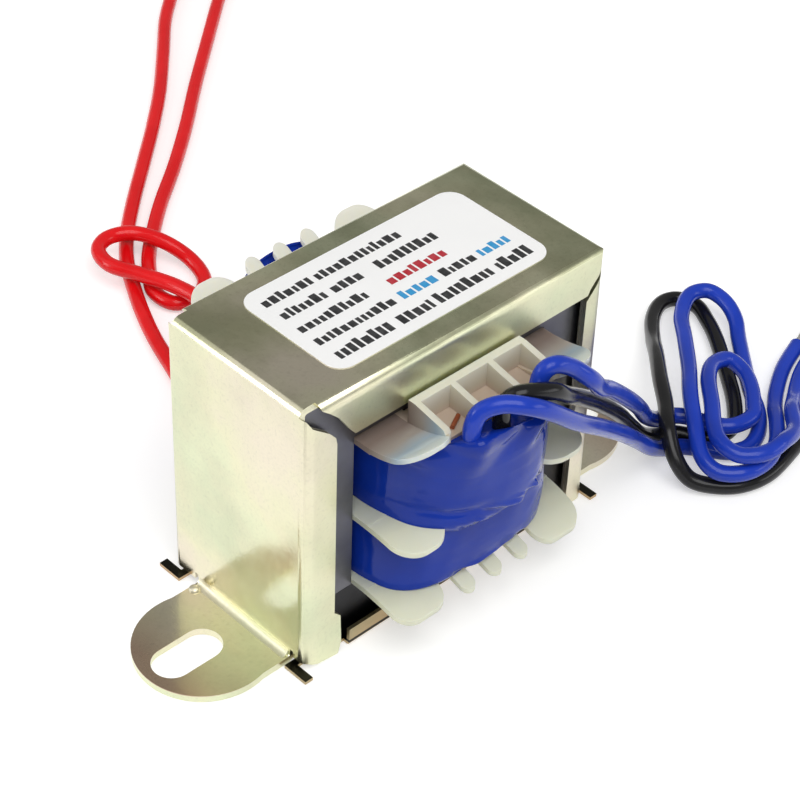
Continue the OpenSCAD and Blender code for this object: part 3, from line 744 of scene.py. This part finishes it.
# %% Tape material
tape = Look("blue_tape", Roughness=0.12, IOR=1.5, Specular_IOR_Level=0.24)
crumple = tape.bump(tape.noise(520, 2), 0.00006, 0.4)
tape_material = tape.set(
    Base_Color=tape.ramp(tape.noise(70, 4), (0.3, (0.004, 0.026, 0.30)),
                         (0.7, (0.008, 0.042, 0.40))),
    Roughness=tape.ramp(tape.noise(260, 3), (0.35, 0.05), (0.75, 0.14)),
    Normal=tape.bump(tape.noise(120, 2, (0.4, 0.4, 2.5)), 0.0005, 0.4, crumple))
print("tape is", tape_material.name)

# %% [markdown]
# ## Tape sleeves
# Each winding is wrapped in the tape, which lies tight at the sides, bulges
# over the ends and puckers along its edges where it is pulled in. A cloth
# simulation could make puckers, but not at chosen places. So a sleeve is a
# surface of two parameters, the angle round the winding and the way round the
# sleeve's own cross-section, and each fold is a bell-shaped bump added to it.

# %% Sleeve surface
RIM_IN_MM = 5.0  # how far the rim is turned in over the winding
BACK_IN_MM = 1.1  # how far the sleeve's hidden inside lies behind its outline


def bell(value, centre, width):
    """exp(-((value - centre) / width)^2): 1 at the centre, fading to 0."""
    return np.exp(-((value - centre) / width) ** 2)


def outline(angle, half_x, front, back, power):
    """A superellipse: x is half_x and y is front or back, each times the cosine
    or the sine to the power 2 / power, with its sign kept."""
    c, s = np.cos(angle), np.sin(angle)
    x = half_x * np.sign(c) * np.abs(c) ** (2 / power)
    y = np.where(s < 0, front, back) * np.sign(s) * np.abs(s) ** (2 / power)
    return x, y


def outside_inset(angle, v, folds):
    """How far the outside lies in from the outline, by angle and by v, which
    runs from the upper edge at 0 to the lower at 1: 0.3, plus a bell at each
    edge, less 0.25 sin(pi v), three slow ripples and the folds. A fold is its
    depth times a bell of the angle, which slants with v, and a bell of v."""
    deg = np.degrees(angle)
    ripple = (0.10 * np.sin(5 * angle + 0.4 + 2 * v) + 0.06 * np.sin(11 * angle + 1.3 - 3 * v)
              + 0.03 * np.sin(23 * angle + 2.1 + 6 * v))
    creases = sum(depth * bell(deg - slant * (v - at), where, wide) * bell(v, at, tall)
                  for depth, where, wide, at, tall, slant in folds)
    edges = 0.35 * bell(v, 0, 0.06) + 0.4 * bell(v, 1, 0.04) + 0.3
    middle = np.sin(np.pi * v)
    return edges - 0.25 * middle - ripple * middle ** 0.5 - creases


def sleeve(angle, shape, low, high, rim_floor, folds):
    """Rows of points round the cross-section: the rim from inside up to the
    upper edge, the outside down to the lower edge, and the hidden inside back
    up. Every row is the outline drawn in by its inset. With t from 0 to 1 the
    rim's inset is RIM_IN_MM (1 - sin(pi t / 2)) + 0.35 t, and its height goes
    from rim_floor towards the edge by (1 - cos(pi t / 2))^0.8. low and high
    are the edges' heights at each angle."""
    x, y = outline(angle, *shape)
    r = np.hypot(x, y)
    t = np.linspace(0, 1, 9)[:, None]
    rim_in = RIM_IN_MM * (1 - np.sin(t * np.pi / 2)) + 0.35 * t
    rim_z = rim_floor + (high - rim_floor) * (1 - np.cos(t * np.pi / 2)) ** 0.8
    v = np.linspace(0.02, 1, 56)[:, None]
    inside_z = [low + 0.05, (low + high) / 2, np.full_like(low, rim_floor - 0.15)]
    inset = np.concatenate([rim_in + 0 * r, outside_inset(angle, v, folds),
                            np.full((3, 1), BACK_IN_MM) + 0 * r])
    z = np.concatenate([rim_z, high + (low - high) * v, *inside_z])
    k = 1 - inset / r
    return np.stack([x * k, y * k, z], -1)


def wrapped(name, node, shape, low, high, rim_floor, folds, cols=600):
    """A sleeve of tape as one closed ring: its last row joins its first. low
    and high are functions that give the edges' heights by degrees."""
    angle = np.linspace(0, 2 * np.pi, cols, endpoint=False)[None, :]
    deg = np.degrees(angle)
    points = sleeve(angle, shape, low(deg), high(deg), rim_floor, folds)
    j = np.arange(cols)
    k = (j + 1) % cols
    last = (len(points) - 1) * cols
    seam = np.stack([last + j, last + k, k, j], -1).tolist()
    mesh = mesh_of(name, points.reshape(-1, 3), grid_faces(len(points), cols) + seam)
    face_outwards(mesh)
    print(name, "has", len(mesh.polygons), "faces")
    return piece(name, mesh, tape_material, "blue_tape", node)


print("a bell is", round(float(bell(1, 0, 1)), 2), "high at one width from its centre")

# %% [markdown]
# ## Upper sleeve
# The upper sleeve is the wide one. It dips over the left lobe, rises at the
# comb where the first lead comes out, and puckers most at the front right. Its
# folds could be modelled one by one with sculpting, but as a list they stay
# readable and each can be moved by a number. An angle of 270 degrees is the
# front.


# %% Upper sleeve
def upper_low(deg):
    """The lower edge: a dip at the lobe, a small wave where it puckers, and a
    rise over the sides and the back."""
    wave = 0.25 * np.sin(np.radians(deg * 13)) * bell(deg, 285, 25)
    rise = bell(deg, 180, 20) + bell(deg, 90, 70) + bell(deg, 0, 30) + bell(deg, 360, 30)
    return 19.05 - 0.5 * bell(deg, 244, 9) + wave + 1.2 * rise


def upper_high(deg):
    """The upper edge: raised at the comb and at the back, low at the lobe."""
    return 30.7 + 3.0 * bell(deg, 254, 22) - 0.5 * bell(deg, 207, 12) + 2.6 * bell(deg, 85, 30)


# each fold: depth, angle, width in degrees, height from the upper edge at 0 to
# the lower at 1, its length, and its slant in degrees
UPPER_FOLDS = [
    (1.3, 221, 20, 1.0, 0.2, 0), (1.9, 250, 9, 0.0, 0.4, 0),
    (-0.9, 209, 5, 0.0, 0.16, 40), (0.5, 219, 6, 0.05, 0.15, 60),
    (-0.45, 236, 7, 0.06, 0.12, 90), (0.5, 262, 9, 0.02, 0.12, 30),
    (-0.5, 275, 5, 0.05, 0.2, -50), (0.4, 286, 6, 0.1, 0.2, -60),
    (-0.5, 266, 4, 0.95, 0.06, 70), (0.45, 272, 3, 0.93, 0.06, 60),
    (-0.5, 279, 3, 0.94, 0.05, 60), (0.3, 256, 2, 0.96, 0.04, 80),
    (-0.35, 260, 2, 0.9, 0.05, 90), (0.35, 276, 1.5, 0.9, 0.05, 90),
    (-0.3, 288, 1.5, 0.88, 0.05, 90), (-0.25, 246, 2, 0.97, 0.03, 60),
    (0.5, 285, 3, 0.93, 0.05, 50), (-0.45, 291, 3, 0.95, 0.05, 50),
    (-0.35, 244, 14, 0.8, 0.05, 150)]
wrapped("upper_wrap", "upper_tape", shape=(14.2, 22.6, 22.5, 2.5), low=upper_low,
        high=upper_high, rim_floor=31.35, folds=UPPER_FOLDS)

# %% [markdown]
# ## Lower sleeve
# The lower sleeve is smoother. Its upper edge is level and hidden by the middle
# flange, and its lower edge only waves a little, so it needs few folds.


# %% Lower sleeve
def lower_low(deg):
    """The lower edge: a shallow dip, a faint wave, and a rise at the back."""
    wave = 0.12 * np.sin(np.radians(deg * 7))
    return 8.95 - 0.35 * bell(deg, 215, 25) + wave + 0.7 * bell(deg, 90, 70)


def lower_high(deg):
    """The upper edge, level all round."""
    return np.full_like(deg, 18.4)


LOWER_FOLDS = [
    (0.9, 221, 22, 1.0, 0.25, 0), (-0.4, 262, 4, 0.96, 0.05, 50),
    (0.4, 268, 3, 0.95, 0.05, 50), (-0.4, 281, 3, 0.95, 0.05, 40),
    (-0.3, 225, 12, 0.3, 0.3, 60)]
wrapped("lower_wrap", "lower_tape", shape=(15.4, 19.7, 22.6, 3.4), low=lower_low,
        high=lower_high, rim_floor=17.95, folds=LOWER_FOLDS)

# %% [markdown]
# ## Label
# The label is a white film sticker with rounded corners, faintly uneven in its
# tint. A smooth white would do, but on so flat a face a faint bump keeps the
# lights' mirror images from being ruler-straight.

# %% Label
paper = Look("label", Roughness=0.32, Coat_Weight=0.2)
paper_material = paper.set(
    Base_Color=paper.ramp(paper.noise(60, 3), (0.3, (0.94, 0.94, 0.94)),
                          (0.7, (0.98, 0.98, 0.98))),
    Normal=paper.bump(paper.noise(500, 3), 0.00003, 0.4))
from_node("sticker", "rating_label", paper_material, "label", 0.04)
label_top_mm = 1000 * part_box("rating_label")[1][2]
print("the label's face is", round(label_top_mm, 2), "mm up")

# %% [markdown]
# ## Print on the label
# The maker's print is not copied: short plain blocks of black, red and light
# blue stand where its lines run. They could be drawn in the label's material,
# but small flat meshes stay sharp in every view and keep their colours in the
# exported model.


# %% Printed blocks
def ink(name, colour):
    """Matt ink that is a little thinner in places."""
    look = Look(name, Roughness=0.4)
    thin = tuple(min(1, c + 0.05) for c in colour)
    return look.set(Base_Color=look.ramp(look.noise(1500, 2), (0.3, colour), (0.8, thin)))


BLACK, RED, BLUE = 0, 1, 2
INKS = [ink("ink_black", (0.012, 0.012, 0.014)), ink("ink_red", (0.45, 0.005, 0.02)),
        ink("ink_blue", (0.02, 0.3, 0.62))]
# each line of print: its middle in Y, its height, and its runs from X to X
LINES_MM = [
    (6.2, 1.7, [(-15.2, -7.6, BLACK), (-6.8, 7.2, BLACK)]),
    (3.0, 1.7, [(-15.0, -8.0, BLACK), (-7.0, -2.2, BLACK), (0.4, 10.2, BLACK)]),
    (-0.3, 1.6, [(-15.2, -4.4, BLACK), (-0.8, 8.6, RED)]),
    (-3.4, 1.6, [(-15.2, -2.8, BLACK), (-1.6, 4.4, BLUE), (5.2, 10.8, BLACK),
                 (11.6, 17.0, BLUE)]),
    (-6.7, 2.0, [(-15.0, -6.0, BLACK), (-5.0, 0.4, BLACK), (1.2, 10.6, BLACK),
                 (11.4, 17.0, BLACK)])]
BLOCK_MM = (0.55, 1.15)  # least and greatest width of a block
SPACE_MM = 0.28
HEIGHTS = (1.0, 0.72, 0.72, 0.86)  # shares of the line's height, drawn at random
INK_MM = 0.012  # how far the print stands over the label

rng = np.random.default_rng(7)


def blocks(start, end, middle, height):
    """Rectangles side by side from start to end, of random width and height."""
    z = label_top_mm + INK_MM
    base = middle - height / 2
    x, corners = start, []
    while x < end - 0.4:
        width = min(rng.uniform(*BLOCK_MM), end - x)
        top = base + height * rng.choice(HEIGHTS)
        corners.append([(x, base, z), (x + width, base, z), (x + width, top, z), (x, top, z)])
        x += width + SPACE_MM
    return corners


corners, inks = [], []
for middle, height, runs in LINES_MM:
    for start, end, shade in runs:
        own = blocks(start, end, middle, height)
        corners += own
        inks += [shade] * len(own)
block_faces = np.arange(4 * len(corners)).reshape(-1, 4).tolist()
print_mesh = mesh_of("print_blocks", np.array(corners).reshape(-1, 3), block_faces, smooth=False)
for material in INKS:
    print_mesh.materials.append(material)
print_mesh.polygons.foreach_set("material_index", inks)
piece("print_blocks", print_mesh, INKS[BLACK], "label")
print("the label has", len(corners), "printed blocks")

# %% [markdown]
# ## Floor
# The object stands on a pale table. A floor lit to pure white would throw that
# light back on the object. So it is a light grey with a glow that only the
# camera, reflections and light passed through a piece can see, and it still
# shows the object's shadow.

# %% Floor
FLOOR_MM = 4000  # from the floor's middle to its edges
FLOOR_Z_MM = -0.15
FLOOR_GLOW = 0.45

floor_look = Look("floor", Base_Color=(0.76, 0.76, 0.76), Roughness=0.9)
ray = floor_look.node("LightPath").outputs
mirrored = floor_look.math("MAXIMUM", ray["Is Glossy Ray"], ray["Is Transmission Ray"])
seen = floor_look.math("MAXIMUM", ray["Is Camera Ray"], mirrored)
floor_look.shader.inputs["Emission Color"].default_value = (1, 1, 1, 1)
floor_look.set(Emission_Strength=floor_look.math("MULTIPLY", seen, FLOOR_GLOW))
signs = ((-1, -1), (1, -1), (1, 1), (-1, 1))
floor_corners = [(FLOOR_MM * x, FLOOR_MM * y, FLOOR_Z_MM) for x, y in signs]
floor_mesh = mesh_of("floor", floor_corners, [[0, 1, 2, 3]], smooth=False)
floor_mesh.materials.append(floor_look.material)
floor = bpy.data.objects.new("floor", floor_mesh)
bpy.context.collection.objects.link(floor)
print("the floor is", 2 * FLOOR_MM / 1000, "m across")

# %% [markdown]
# ## Lights
# Polished steel shows what is round it, so the lights are large cards that it
# can mirror: a broad one overhead, one behind, and two small ones at the sides
# that draw the edges. A bright world would light the object too, but it would
# wash the colours out.


# %% Lights
def soft_light(name, direction, distance, size, watts):
    """A rectangular card at distance metres along direction, facing back."""
    data = bpy.data.lights.new(name, "AREA")
    data.shape = "RECTANGLE"
    data.size, data.size_y = size
    data.energy = watts
    light = bpy.data.objects.new(name, data)
    way = Vector(direction).normalized()
    light.location = way * distance + Vector((0, 0, 0.02))
    light.rotation_euler = way.to_track_quat("Z", "Y").to_euler()
    bpy.context.collection.objects.link(light)
    print(name, "gives", watts, "W")


soft_light("overhead", (-0.25, -0.45, 0.86), 1.0, (0.8, 0.8), 6.6)
soft_light("back_card", (-0.54, 0.55, 0.64), 1.2, (0.9, 0.9), 1.6)
soft_light("rim", (-0.80, 0.52, 0.30), 0.9, (0.30, 0.45), 1.6)
soft_light("fill", (0.62, -0.74, 0.26), 0.9, (0.55, 0.28), 1.0)

# %% [markdown]
# ## Room
# Round the table is a plain room. The camera should see it white, but the steel
# should mirror a dim one, or its top would turn pale. Light Path's Is Camera
# Ray adds brightness for the camera alone.

# %% Room
ROOM_STRENGTH = 0.36
CAMERA_EXTRA = 0.7

world = bpy.data.worlds.new("room")
world.use_nodes = True
room = world.node_tree
background = room.nodes["Background"]
background.inputs["Color"].default_value = (0.97, 0.96, 0.93, 1)
seen_room = room.nodes.new("ShaderNodeLightPath").outputs["Is Camera Ray"]
strength = room.nodes.new("ShaderNodeMath")
strength.operation = "MULTIPLY_ADD"
room.links.new(seen_room, strength.inputs[0])
strength.inputs[1].default_value = CAMERA_EXTRA
strength.inputs[2].default_value = ROOM_STRENGTH
room.links.new(strength.outputs[0], background.inputs["Strength"])
bpy.context.scene.world = world
bpy.context.scene.view_settings.view_transform = "Standard"
print("the room is", ROOM_STRENGTH, "bright, and", ROOM_STRENGTH + CAMERA_EXTRA, "to the camera")

# %% [markdown]
